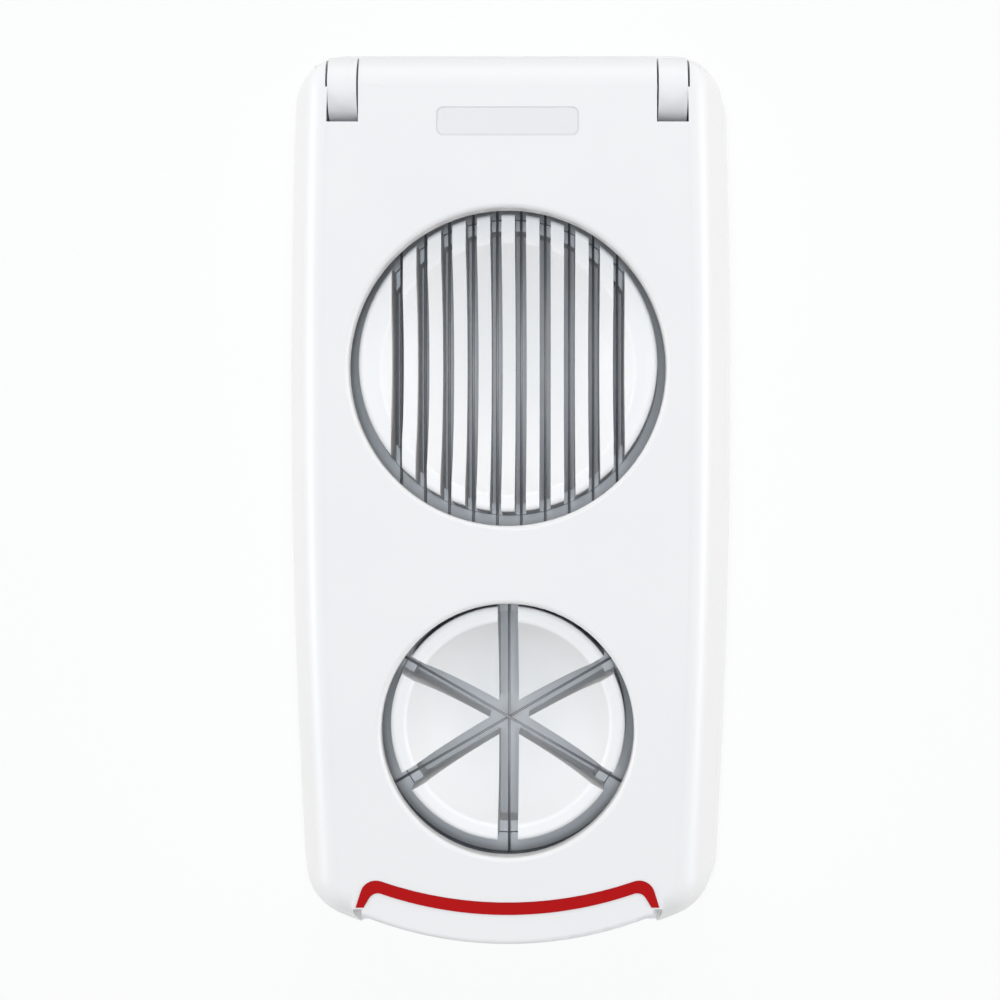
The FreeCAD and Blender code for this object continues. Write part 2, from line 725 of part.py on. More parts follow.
def make_lid_shell():
    body = new_body("lid_shell")
    leaning_block(body, "cover", lid_low_z, s["lid_height"], s["lid_lean"], False)
    top = lid_top_z.number
    round_edges(body, "cover_edge", s["lid_edge"], lambda edge: abs(edge.BoundBox.ZMin - top) < 1e-4)

    hollow_below(body, s["lid_wall"])

    # wall behind the finger notch, and one at each side of it that leans with the front
    radius, wall = s["tab_radius"], s["lid_wall"]
    notch_arc_y = front_y + s["notch_setback"] + radius
    side_y = arc_y(notch_arc_y, radius, notch_half)
    side_out = notch_half + wall
    sketch = new_sketch(body, "notch_wall_plan", "XY_Plane", lid_low_z)
    draw_outline(sketch, [(-side_out, arc_y(notch_arc_y, radius, side_out)),
                          (side_out, arc_y(notch_arc_y, radius, side_out)),
                          (side_out, arc_y(notch_arc_y, radius - wall, side_out)),
                          (-side_out, arc_y(notch_arc_y, radius - wall, side_out))],
                 {0: (radius, 1), 2: (radius - wall, -1)})
    doc.recompute()
    pad(body, "notch_wall", sketch, s["lid_height"] - wall / 2)
    low_y = arc_y(nose_y, nose_radius, side_out) + wall / 4
    straight = s["lid_height"] - s["lid_edge"]
    high_y = low_y + s["lid_lean"] * straight / s["lid_height"]
    roof_z = lid_top_z - wall / 2
    sketch = new_sketch(body, "notch_side_section", "YZ_Plane", notch_half)
    rear_y = side_y + wall / 2
    draw_outline(sketch, [(low_y, lid_low_z), (rear_y, lid_low_z), (rear_y, roof_z),
                          (high_y + s["lid_edge"] - wall / 2, roof_z), (high_y, lid_low_z + straight)])
    doc.recompute()
    right = pad(body, "notch_side", sketch, wall)
    repeat_mirrored(body, "both_notch_sides", [right], "YZ_Plane")

    # finger notch, cut through the front and the top
    sketch = new_sketch(body, "notch_plan", "XY_Plane", lid_low_z)
    draw_outline(sketch, [(-notch_half, side_y), (-notch_half, front_y * 2),
                          (notch_half, front_y * 2), (notch_half, side_y)], {3: (radius, -1)})
    doc.recompute()
    pocket(body, "notch", sketch, s["lid_height"] * 3, "Symmetric")

    # thumb tab over the notch
    tab_arc_y = front_y + s["tab_setback"] + radius
    root_y = front_y + s["tab_root"]
    gap_y = strip_end_y - s["strip_end_gap"]
    tip_y = arc_y(tab_arc_y, radius, tab_half)
    sketch = new_sketch(body, "tab_plan", "XY_Plane", lid_top_z - s["tab_wall"])
    draw_outline(sketch, [(-notch_half, root_y), (-notch_half, gap_y), (-tab_half, gap_y),
                          (-tab_half, tip_y), (tab_half, tip_y), (tab_half, gap_y),
                          (notch_half, gap_y), (notch_half, root_y)], {3: (radius, 1)})
    doc.recompute()
    pad(body, "tab", sketch, s["tab_wall"])

    def is_tab_front(edge):
        curve = edge.Curve
        return isinstance(curve, Part.Circle) and abs(curve.Center.y - tab_arc_y.number) < 1e-4

    round_edges(body, "tab_rounds", s["tab_edge"], is_tab_front)

    # groove for the red strip
    sketch = new_sketch(body, "strip_plan", "XY_Plane", lid_top_z)
    draw_outline(sketch, *strip_outline(as_size(0.0)))
    doc.recompute()
    pocket(body, "strip_groove", sketch, s["strip_depth"])
    round_strip(body, as_size(0.0))

    # round openings with a lip below that the wire frame slips over
    stations = ((slicer_y, slicer_opening, slicer_collar), (wedger_y, wedger_opening, wedger_collar))
    sketch = new_sketch(body, "lip_plan", "XY_Plane", lid_top_z - s["lip_depth"])
    for station_y, _, collar in stations:
        draw_circle(sketch, 0.0, station_y, collar - s["lip_play"])
    doc.recompute()
    pad(body, "lips", sketch, s["lip_depth"] - s["lid_wall"] / 2)
    sketch = new_sketch(body, "opening_plan", "XY_Plane", lid_top_z)
    for station_y, opening, _ in stations:
        draw_circle(sketch, 0.0, station_y, opening)
    doc.recompute()
    pocket(body, "openings", sketch, s["lip_depth"] * 3, "Symmetric")

    def is_opening(edge):
        circle = edge.Curve
        return isinstance(circle, Part.Circle) and abs(circle.Center.x) < 1e-4 and \
            abs(circle.Center.z - top) < 1e-4 and edge.isClosed()

    round_edges(body, "opening_rounds", s["opening_edge"], is_opening)

    # window at the rear, filled again by the barrel between the two knuckles
    window_y = hinge_y - s["knuckle_radius"] - s["notch_room"]
    sketch = new_sketch(body, "window_plan", "XY_Plane", lid_top_z)
    draw_box(sketch, -notch_outer, notch_outer, window_y, half_length * 2)
    doc.recompute()
    pocket(body, "window", sketch, s["lid_height"] * 3, "Symmetric")
    radius = s["knuckle_radius"]
    under_z = lid_top_z - s["lid_wall"]
    under = under_z - hinge_z
    meet_y = hinge_y - root(radius * radius - under * under)
    inside_y = window_y - s["lid_wall"]
    sketch = new_sketch(body, "barrel_side", "YZ_Plane")
    draw_outline(sketch, [(inside_y, under_z), (meet_y, under_z), (hinge_y, hinge_z - radius),
                          (hinge_y + radius, hinge_z), (hinge_y, lid_top_z), (inside_y, lid_top_z)],
                 {1: (radius, 1), 2: (radius, 1), 3: (radius, 1)})
    doc.recompute()
    pad(body, "barrel", sketch, barrel_half * 2, "Symmetric")
    hollow = barrel_half - s["pin_grip"] - s["barrel_wall"]
    core = radius - s["barrel_wall"]
    sketch = new_sketch(body, "barrel_core_plan", "XY_Plane", hinge_z + core)
    draw_box(sketch, -hollow, hollow, hinge_y - core, hinge_y + core)
    doc.recompute()
    pocket(body, "barrel_core", sketch, radius * 2)

    # cheeks outside the knuckles carry the outer ends of the pins
    boss = s["cheek_boss"]
    web_y = hinge_y - s["cheek_web"]
    sketch = new_sketch(body, "cheek_side", "YZ_Plane", notch_outer)
    draw_outline(sketch, [(web_y, hinge_z - boss), (hinge_y, hinge_z - boss), (hinge_y + boss, hinge_z),
                          (hinge_y, hinge_z + boss), (web_y, hinge_z + boss)],
                 {1: (boss, 1), 2: (boss, 1)})
    doc.recompute()
    cheek = pad(body, "cheek", sketch, s["cheek_wall"])
    repeat_mirrored(body, "both_cheeks", [cheek], "YZ_Plane")
    sketch = new_sketch(body, "press_bore_side", "YZ_Plane", barrel_half - s["pin_grip"])
    draw_circle(sketch, hinge_y, hinge_z, s["pin_radius"] + s["press_play"])
    doc.recompute()
    bore_length = notch_outer + s["cheek_wall"] - barrel_half + s["pin_grip"]
    bore = pocket(body, "press_bore", sketch, bore_length, reverse=True)
    repeat_mirrored(body, "both_bores", [bore], "YZ_Plane")

    # the lower rear is rounded about the axis, to turn inside the saddle of the base
    radius = hinge_z - lid_low_z
    far_y, far_z = half_length * 2, lid_low_z - radius
    sketch = new_sketch(body, "heel_side", "YZ_Plane")
    draw_outline(sketch, [(hinge_y, lid_low_z), (hinge_y + radius, hinge_z), (far_y, hinge_z),
                          (far_y, far_z), (hinge_y, far_z)], {0: (radius, 1)})
    doc.recompute()
    pocket(body, "heel", sketch, beyond * 2, "Symmetric")

    # bare plate, a shallow recess in front of the hinge
    half, wide, corner = s["plate_length"] / 2, s["plate_width"] / 2, s["plate_corner"]
    plate_y = hinge_y - s["plate_reach"]
    low, high = plate_y - wide, plate_y + wide
    sketch = new_sketch(body, "plate_plan", "XY_Plane", lid_top_z)
    draw_outline(sketch, [(corner - half, low), (half - corner, low), (half, low + corner),
                          (half, high - corner), (half - corner, high), (corner - half, high),
                          (-half, high - corner), (-half, low + corner)],
                 {1: (corner, 1), 3: (corner, 1), 5: (corner, 1), 7: (corner, 1)})
    doc.recompute()
    pocket(body, "plate", sketch, s["plate_depth"])
    return body


def make_grip_inlay():
    body = new_body("grip_inlay")
    floor_z = lid_top_z - s["strip_depth"]
    sketch = new_sketch(body, "strip_plan", "XY_Plane", floor_z)
    draw_outline(sketch, *strip_outline(s["strip_play"]))
    doc.recompute()
    pad(body, "strip", sketch, s["strip_depth"] + s["strip_proud"])
    round_strip(body, s["strip_play"])
    return body


def wedge_turn(number):
    """Angle of a wedging wire to X: they cross at equal angles."""
    return (number + 0.5) * 180.0 / WEDGING_WIRES


def wedge_z(number):
    """Each wedging wire runs one step above the one before, so that they pass where they cross."""
    return wire_z + s["wire_step"] * number


def make_wire_frame():
    body = new_body("wire_frame")
    half = s["bridge_width"] / 2
    sketch = new_sketch(body, "bridge_plan", "XY_Plane", lid_low_z + s["bridge_height"])
    draw_box(sketch, -half, half, wedger_y, slicer_y)
    doc.recompute()
    pad(body, "bridge", sketch, s["bridge_wall"])
    sketch = new_sketch(body, "collar_plan", "XY_Plane", lid_low_z)
    draw_circle(sketch, 0.0, slicer_y, slicer_outside)
    draw_circle(sketch, 0.0, wedger_y, wedger_outside)
    doc.recompute()
    pad(body, "collars", sketch, collar_height)
    sketch = new_sketch(body, "collar_bore_plan", "XY_Plane", lid_low_z)
    draw_circle(sketch, 0.0, slicer_y, slicer_collar)
    draw_circle(sketch, 0.0, wedger_y, wedger_collar)
    doc.recompute()
    pocket(body, "collar_bores", sketch, collar_height * 3, "Symmetric")

    # a hole through both sides of a collar for each wire
    hole = s["wire_radius"] + s["wire_play"]
    first_x = s["slice_pitch"] * (-(SLICING_WIRES - 1) / 2)
    sketch = new_sketch(body, "wire_hole_side", "XZ_Plane", -slicer_y)
    draw_circle(sketch, first_x, wire_z, hole)
    doc.recompute()
    first = pocket(body, "wire_hole", sketch, slicer_outside * 2, "Symmetric")
    repeat_for_wires(body, "wire_holes", first, sketch)
    reach = wedger_outside + s["cup_shift"]
    for number in range(WEDGING_WIRES):
        before = body.Shape.Volume
        bore = body.newObject("PartDesign::SubtractiveCylinder", f"wedge_hole_{number + 1}")
        bind(bore, "Radius", hole)
        bind(bore, "Height", reach * 2)
        lay_along(bore, wedge_turn(number), 0.0, wedger_cup_y, wedge_z(number), reach)
        finish_feature(body, bore, before)
    return body


def make_wire(label, turn, x, y, z, back, ahead):
    """A wire with a crimped bead at each end, outside the collar it is strung through."""
    bars = ((s["wire_radius"], back + s["bead_length"], back + ahead + s["bead_length"] * 2),
            (s["bead_radius"], back + s["bead_length"], s["bead_length"]),
            (s["bead_radius"], -ahead, s["bead_length"]))
    pieces = []
    for radius, start, length in bars:
        bar = doc.addObject("Part::Cylinder", f"{label}_bar")
        bind(bar, "Radius", radius)
        bind(bar, "Height", length)
        lay_along(bar, turn, x, y, z, start)
        pieces.append(bar)
    wire = doc.addObject("Part::MultiFuse", label)
    wire.Label = label
    wire.Shapes = pieces
    doc.recompute()
    return wire


def make_slicing_wires():
    wires = []
    for number in range(SLICING_WIRES):
        place = number - (SLICING_WIRES - 1) / 2
        inner = s["slice_pitch"] * abs(place) - s["bead_radius"]
        reach = root(slicer_outside * slicer_outside - inner * inner) + s["bead_gap"]
        wires.append(make_wire(f"slicing_wire_{number + 1:02d}", 90.0, s["slice_pitch"] * place,
                               slicer_y, wire_z, reach, reach))
    return wires


def make_wedging_wires():
    """The wires cross over the middle of the cup, a little behind the middle of the collar."""
    wires = []
    shift = s["cup_shift"]
    for number in range(WEDGING_WIRES):
        turn = wedge_turn(number)
        across, along = math.cos(math.radians(turn)), math.sin(math.radians(turn))
        half = root(wedger_outside * wedger_outside - shift * shift * across ** 2) + s["bead_gap"]
        wires.append(make_wire(f"wedging_wire_{number + 1}", turn, 0.0, wedger_cup_y, wedge_z(number),
                               half + shift * along, half - shift * along))
    return wires


def make_hinge_pin(label, side):
    """A plain pin, pressed into the barrel and a cheek of the lid, free in the knuckle between."""
    inner = barrel_half - s["pin_grip"]
    length = notch_outer + s["cheek_wall"] - inner
    pin = doc.addObject("Part::Cylinder", label)
    pin.Label = label
    bind(pin, "Radius", s["pin_radius"])
    bind(pin, "Height", length)
    lay_along(pin, 0.0 if side > 0 else 180.0, inner * side, hinge_y, hinge_z, as_size(0.0))
    doc.recompute()
    return pin


def make_foot(label, side, end):
    body = new_body(label)
    x, y = foot_x * side, foot_y * end
    sketch = new_sketch(body, "pad_plan", "XY_Plane")
    draw_circle(sketch, x, y, s["foot_radius"])
    doc.recompute()
    pad(body, "foot_pad", sketch, s["foot_height"])
    sketch = new_sketch(body, "stem_plan", "XY_Plane", rim_z)
    draw_circle(sketch, x, y, s["foot_stem"])
    doc.recompute()
    pad(body, "stem", sketch, s["foot_stem_height"])
    return body


pieces = [make_base_shell(), make_slicing_cup(), make_wedging_cup(), make_lid_shell(), make_wire_frame(),
          make_grip_inlay()]
pieces += make_slicing_wires()
pieces += make_wedging_wires()
for side, side_name in ((-1, "left"), (1, "right")):
    pieces.append(make_hinge_pin(f"hinge_pin_{side_name}", side))
    pieces.append(make_foot(f"foot_front_{side_name}", side, -1))
    pieces.append(make_foot(f"foot_rear_{side_name}", side, 1))

doc.recompute()
for item in doc.Objects:
    if "Invalid" in item.State or "Error" in item.State:
        raise RuntimeError(f"{item.Label} did not rebuild")
for piece in pieces:
    if piece.Shape.isNull() or not piece.Shape.isValid() or len(piece.Shape.Solids) != 1:
        raise RuntimeError(f"{piece.Label} is not one sound solid")

os.makedirs("parts", exist_ok=True)
for piece in pieces:
    piece.Shape.exportStep(f"parts/{piece.Label}.step")
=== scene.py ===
"""Finishes the egg slicer: moulded plastic shells, slotted cups, drawn steel wires and a plain studio."""

import math

import bpy
import numpy as np
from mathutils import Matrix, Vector


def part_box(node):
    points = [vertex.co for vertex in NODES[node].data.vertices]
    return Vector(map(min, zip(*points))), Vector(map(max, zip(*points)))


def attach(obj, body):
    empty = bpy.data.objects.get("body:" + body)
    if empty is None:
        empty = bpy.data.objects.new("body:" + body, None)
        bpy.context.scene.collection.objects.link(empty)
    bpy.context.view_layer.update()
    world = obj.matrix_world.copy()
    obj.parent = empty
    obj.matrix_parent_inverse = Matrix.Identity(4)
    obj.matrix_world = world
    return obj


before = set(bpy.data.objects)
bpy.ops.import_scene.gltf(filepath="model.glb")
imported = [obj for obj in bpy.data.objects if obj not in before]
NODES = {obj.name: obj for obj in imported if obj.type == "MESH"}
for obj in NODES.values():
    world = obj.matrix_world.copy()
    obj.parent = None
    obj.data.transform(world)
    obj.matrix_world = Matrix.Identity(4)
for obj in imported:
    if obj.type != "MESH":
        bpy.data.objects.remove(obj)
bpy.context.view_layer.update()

bl_info = {
    "name": "Egg slicer finish",
    "version": (1, 0, 0),
    "blender": (4, 5, 0),
    "location": "3D View > Sidebar > Egg slicer",
    "description": "Gives the pieces of the egg slicer their finishes and sets up the studio",
    "category": "Object",
}

SHELLS = ("base_shell", "lid_shell")
CUPS = ("slicing_cup", "wedging_cup")
SLICING_WIRES = sorted(name for name in NODES if name.startswith("slicing_wire"))
WEDGING_WIRES = sorted(name for name in NODES if name.startswith("wedging_wire"))
PINS = ("hinge_pin_left", "hinge_pin_right")
FEET = sorted(name for name in NODES if name.startswith("foot_"))
MOULDED = "moulded plastic"
DRAWN = "drawn steel"

# finishes
PLASTIC_IOR = 1.49
GRAIN_DEPTH = 0.0001
FLOW_DETAIL = 3.0
HAZE_PER_FLOW = 2.7
HAZE_DETAIL = 5.0
HAZE_ROUGHNESS = 0.6
GRAIN_DETAIL = 2.0
LINE_STRETCH = (60.0, 9000.0, 9000.0)
LINE_DETAIL = 3.0
LINE_ROUGHNESS = 0.2
LINE_BUMP = 0.2

# surfaces, in metres and in steps
SKIN_RISE = 0.00002
LENGTH_STEPS = 48
BEND_STEPS = 20

# camera, with its sensor in millimetres
SENSOR_WIDTH = 36.0
CLIP_START = 0.01


def add_node(tree, kind, **inputs):
    """A new node of the tree with some of its inputs set, by their names with _ for spaces."""
    node = tree.nodes.new(kind)
    for name, value in inputs.items():
        node.inputs[name.replace("_", " ")].default_value = value
    return node


def math_node(tree, operation, first, second):
    """A Math node of two inputs, each a socket or a number."""
    node = tree.nodes.new("ShaderNodeMath")
    node.operation = operation
    for socket, value in zip(node.inputs, (first, second)):
        if isinstance(value, bpy.types.NodeSocket):
            tree.links.new(value, socket)
        else:
            socket.default_value = value
    return node.outputs[0]


def mix_colours(tree, factor, first, second):
    """A colour Mix node; its factor and its two colours are each a socket or a value."""
    node = tree.nodes.new("ShaderNodeMix")
    node.data_type = "RGBA"
    for name, value in (("Factor_Float", factor), ("A_Color", first), ("B_Color", second)):
        socket = next(s for s in node.inputs if s.identifier == name)
        if isinstance(value, bpy.types.NodeSocket):
            tree.links.new(value, socket)
        else:
            socket.default_value = value
    return next(s for s in node.outputs if s.identifier == "Result_Color")


def new_group(name, inputs, outputs):
    """An empty shader node group with the named sockets; returns it with its two end nodes."""
    group = bpy.data.node_groups.new(name, "ShaderNodeTree")
    for direction, sockets in (("INPUT", inputs), ("OUTPUT", outputs)):
        for socket_name, kind, default in sockets:
            socket_type = f"NodeSocket{kind}"
            socket = group.interface.new_socket(socket_name, in_out=direction, socket_type=socket_type)
            if default is not None:
                socket.default_value = default
    return group, group.nodes.new("NodeGroupInput"), group.nodes.new("NodeGroupOutput")


def noise(tree, vector, scale, detail, roughness=0.5):
    """Value of a noise texture at a scale, which is a socket or a number."""
    node = add_node(tree, "ShaderNodeTexNoise", Detail=detail, Roughness=roughness)
    tree.links.new(vector, node.inputs["Vector"])
    if isinstance(scale, bpy.types.NodeSocket):
        tree.links.new(scale, node.inputs["Scale"])
    else:
        node.inputs["Scale"].default_value = scale
    return node.outputs[0]


def moulded_group():
    """Moulded plastic: cloudy flow of the melt in the colour, a fine spark grain, a haze of handling."""
    group, start, end = new_group(
        MOULDED,
        [("Vector", "Vector", None), ("Colour", "Color", (0.8, 0.8, 0.8, 1.0)),
         ("Flow Colour", "Color", (0.7, 0.7, 0.7, 1.0)), ("Flow Scale", "Float", 30.0),
         ("Grain Scale", "Float", 2400.0), ("Gloss", "Float", 0.35), ("Haze", "Float", 0.1)],
        [("Colour", "Color", None), ("Roughness", "Float", None), ("Height", "Float", None)])
    flow = noise(group, start.outputs["Vector"], start.outputs["Flow Scale"], FLOW_DETAIL)
    colour = mix_colours(group, flow, start.outputs["Colour"], start.outputs["Flow Colour"])
    haze_scale = math_node(group, "MULTIPLY", start.outputs["Flow Scale"], HAZE_PER_FLOW)
    haze = noise(group, start.outputs["Vector"], haze_scale, HAZE_DETAIL, HAZE_ROUGHNESS)
    haze = math_node(group, "MULTIPLY", haze, start.outputs["Haze"])
    grain = noise(group, start.outputs["Vector"], start.outputs["Grain Scale"], GRAIN_DETAIL)
    group.links.new(colour, end.inputs["Colour"])
    group.links.new(math_node(group, "ADD", start.outputs["Gloss"], haze), end.inputs["Roughness"])
    group.links.new(grain, end.inputs["Height"])
    return group


def drawn_group():
    """Drawn steel: fine lines along X of the vector, in tone, roughness and height."""
    group, start, end = new_group(
        DRAWN,
        [("Vector", "Vector", None), ("Colour", "Color", (0.6, 0.6, 0.62, 1.0)),
         ("Dark Colour", "Color", (0.4, 0.4, 0.42, 1.0)), ("Gloss", "Float", 0.25)],
        [("Colour", "Color", None), ("Roughness", "Float", None), ("Height", "Float", None)])
    stretch = add_node(group, "ShaderNodeMapping", Scale=LINE_STRETCH)
    group.links.new(start.outputs["Vector"], stretch.inputs["Vector"])
    lines = noise(group, stretch.outputs["Vector"], 1.0, LINE_DETAIL)
    group.links.new(mix_colours(group, lines, start.outputs["Colour"], start.outputs["Dark Colour"]),
                    end.inputs["Colour"])
    rough = math_node(group, "MULTIPLY", lines, LINE_ROUGHNESS)
    group.links.new(math_node(group, "ADD", start.outputs["Gloss"], rough), end.inputs["Roughness"])
    group.links.new(lines, end.inputs["Height"])
    return group


GROUP_MAKERS = {MOULDED: moulded_group, DRAWN: drawn_group}


def group_material(name, kind, values, bump, turn=0.0, **shader):
    """A Principled material fed by a group of the named kind; turn lays its pattern along a direction."""
    material = bpy.data.materials.new(name)
    material.use_nodes = True
    tree = material.node_tree
    tree.nodes.clear()
    place = tree.nodes.new("ShaderNodeTexCoord")
    turned = add_node(tree, "ShaderNodeMapping", Rotation=(0.0, 0.0, -turn))
    finish = tree.nodes.new("ShaderNodeGroup")
    finish.node_tree = bpy.data.node_groups.get(kind) or GROUP_MAKERS[kind]()
    for socket, value in values.items():
        finish.inputs[socket].default_value = value
    rise = add_node(tree, "ShaderNodeBump", Strength=bump, Distance=GRAIN_DEPTH)
    surface = add_node(tree, "ShaderNodeBsdfPrincipled", **shader)
    out = tree.nodes.new("ShaderNodeOutputMaterial")
    tree.links.new(place.outputs["Object"], turned.inputs["Vector"])
    tree.links.new(turned.outputs["Vector"], finish.inputs["Vector"])
    tree.links.new(finish.outputs["Colour"], surface.inputs["Base Color"])
    tree.links.new(finish.outputs["Roughness"], surface.inputs["Roughness"])
    tree.links.new(finish.outputs["Height"], rise.inputs["Height"])
    tree.links.new(rise.outputs["Normal"], surface.inputs["Normal"])
    tree.links.new(surface.outputs["BSDF"], out.inputs["Surface"])
    return material


def dress(names, material):
    """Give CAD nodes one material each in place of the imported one."""
    for name in names:
        mesh = NODES[name].data
        mesh.materials.clear()
        mesh.materials.append(material)


def plastic(name, colour, flow, grain=2400.0, gloss=0.32, haze=0.12, bump=0.15, specular=0.5):
    """Moulded plastic in a colour that clouds towards a second one."""
    values = {"Colour": (*colour, 1.0), "Flow Colour": (*flow, 1.0), "Grain Scale": grain,
              "Gloss": gloss, "Haze": haze}
    return group_material(name, MOULDED, values, bump, IOR=PLASTIC_IOR, Specular_IOR_Level=specular)


def steel(name, colour, dark, turn):
    """Drawn steel with its lines at an angle to X."""
    values = {"Colour": (*colour, 1.0), "Dark Colour": (*dark, 1.0)}
    return group_material(name, DRAWN, values, LINE_BUMP, turn, Metallic=1.0)


def surface_object(name, points, faces, normals, material):
    """A smooth mesh piece of the lid, from arrays of points and their normals, and a list of faces."""
    mesh = bpy.data.meshes.new(name)
    mesh.from_pydata(points.tolist(), [], faces)
    mesh.shade_smooth()
    mesh.normals_split_custom_set_from_vertices(normals.tolist())
    mesh.materials.append(material)
    piece = bpy.data.objects.new(name, mesh)
    bpy.context.scene.collection.objects.link(piece)
    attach(piece, "lid")


def grid_faces(rows, columns):
    """Quads that join a grid of points, numbered row by row."""
    corner = np.arange(rows * columns).reshape(rows, columns)
    quads = np.stack([corner[:-1, :-1], corner[1:, :-1], corner[1:, 1:], corner[:-1, 1:]], axis=-1)
    return quads.reshape(-1, 4)


def side_skin(name, side, sizes, material):
    """One bowed side of the lid: a leaning line and a quarter round, carried along an arc about Z.

    The line leans in by lid_lean over the lid's height and meets the quarter round of radius lid_edge
    where both have the same slope. The arc has its middle at the lid's widest place. side is the sign of X.
    """
    low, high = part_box("lid_shell")
    height = high.z - low.z
    lean = math.atan(sizes.lid_lean / height)
    bend = np.concatenate([[lean], np.linspace(lean, math.pi / 2, BEND_STEPS)])
    edge = sizes.lid_edge + SKIN_RISE
    out = np.cos(bend) * edge - sizes.lid_edge / math.cos(lean) - (height - sizes.lid_edge) * math.tan(lean)
    z = np.sin(bend) * edge + high.z - sizes.lid_edge
    out[0] = SKIN_RISE
    z[0] = low.z
    ends = [math.asin((y - sizes.widest) / sizes.side_radius) for y in (sizes.side_front, sizes.side_rear)]
    turn = np.linspace(*ends, LENGTH_STEPS)[:, None]
    reach = sizes.side_radius + out
    x = (high.x - sizes.side_radius + reach * np.cos(turn)) * side
    points = np.stack([x, sizes.widest + reach * np.sin(turn), np.broadcast_to(z, x.shape)], axis=-1)
    level = np.cos(bend)
    upright = np.broadcast_to(np.sin(bend), x.shape)
    normals = np.stack([level * np.cos(turn) * side, level * np.sin(turn), upright], axis=-1)
    faces = grid_faces(*x.shape)
    if side < 0:
        faces = faces[:, ::-1]
    surface_object(name, points.reshape(-1, 3), faces.tolist(), normals.reshape(-1, 3), material)


def bare_plate(name, sizes, material):
    """The bare plate: a rectangle with round corners in the recess of the lid, bevelled up to a flat top.

    Each ring of its outline is four quarter circles about the same corner centres. The bevel runs from the
    recess's floor up by plate_rise while the quarter circles shrink by plate_bevel.
    """
    quarter = np.linspace(0.0, math.pi / 2, BEND_STEPS)
    turn = np.concatenate([quarter + math.pi / 2 * corner for corner in range(4)])
    half_x, half_y = sizes.plate_length / 2 - sizes.plate_corner, sizes.plate_width / 2 - sizes.plate_corner
    centre_x = np.repeat([half_x, -half_x, -half_x, half_x], BEND_STEPS)
    centre_y = np.repeat([half_y, half_y, -half_y, -half_y], BEND_STEPS) + sizes.plate_middle
    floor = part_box("lid_shell")[1].z - sizes.plate_depth + SKIN_RISE
    inner = sizes.plate_corner - sizes.plate_bevel
    top = floor + sizes.plate_rise
    rings = [np.stack([centre_x + radius * np.cos(turn), centre_y + radius * np.sin(turn),
                       np.full_like(turn, z)], axis=-1)
             for radius, z in ((sizes.plate_corner, floor), (inner, top), (inner, top))]
    slope = math.atan(sizes.plate_rise / sizes.plate_bevel)
    tilted = np.stack([np.cos(turn) * math.sin(slope), np.sin(turn) * math.sin(slope),
                       np.full_like(turn, math.cos(slope))], axis=-1)
    upright = np.broadcast_to([0.0, 0.0, 1.0], tilted.shape)
    count = len(turn)
    here = np.arange(count)
    after = np.roll(here, -1)
    bevel = np.stack([here, after, after + count, here + count], axis=-1)
    flat_top = here + 2 * count
    normals = np.concatenate([tilted, tilted, upright])
    faces = [*bevel.tolist(), flat_top.tolist()]
    surface_object(name, np.concatenate(rings), faces, normals, material)


def colour_property(name, description, default):
    """A colour that a user can set."""
    return bpy.props.FloatVectorProperty(name=name, description=description, default=default,
                                         subtype="COLOR", size=3, min=0.0, max=1.0)


class SlicerFinish(bpy.types.PropertyGroup):
    """Colours of the slicer's pieces."""

    shell_colour: colour_property("Shell", "White of the lid and the base", (0.855, 0.845, 0.845))
    shell_flow: colour_property("Shell flow", "Tone that the white clouds towards", (0.815, 0.81, 0.815))
    plate_colour: colour_property("Plate", "White of the bare plate", (0.80, 0.79, 0.795))
    plate_flow: colour_property("Plate flow", "Tone that the plate clouds towards", (0.765, 0.76, 0.77))
    cup_colour: colour_property("Cup", "White of the slotted cups", (0.92, 0.91, 0.91))
    cup_flow: colour_property("Cup flow", "Tone that the cups cloud towards", (0.89, 0.885, 0.89))
    # Painted shade: the frame's dark grey and its flow tone darken the ring round each opening in the lid,
    # where the gap lies in shade
    frame_painted_shade: colour_property("Wire frame", "Grey of the frame under the lid", (0.15, 0.165, 0.19))
    frame_painted_shade_flow: colour_property("Wire frame flow", "Tone that the frame clouds towards", (0.125, 0.14, 0.165))
    strip_colour: colour_property("Strip", "Red of the strip behind the tab", (0.46, 0.006, 0.007))
    strip_flow: colour_property("Strip flow", "Tone that the red clouds towards", (0.41, 0.004, 0.005))
    pin_colour: colour_property("Pin", "Bright steel of the hinge pins", (0.72, 0.73, 0.75))
    pin_lines: colour_property("Pin lines", "Drawing lines in the pins", (0.50, 0.51, 0.53))
    wire_colour: colour_property("Wire", "Darker steel of the wires", (0.46, 0.47, 0.50))
    wire_lines: colour_property("Wire lines", "Drawing lines in the wires", (0.31, 0.32, 0.35))
    foot_colour: colour_property("Feet", "Grey rubber of the feet", (0.32, 0.33, 0.34))
    foot_flow: colour_property("Feet flow", "Tone that the rubber clouds towards", (0.26, 0.27, 0.28))


def length_property(name, description, default):
    """A length or a coordinate in metres that a user can set."""
    return bpy.props.FloatProperty(name=name, description=description, default=default,
                                   subtype="DISTANCE", unit="LENGTH", precision=5)


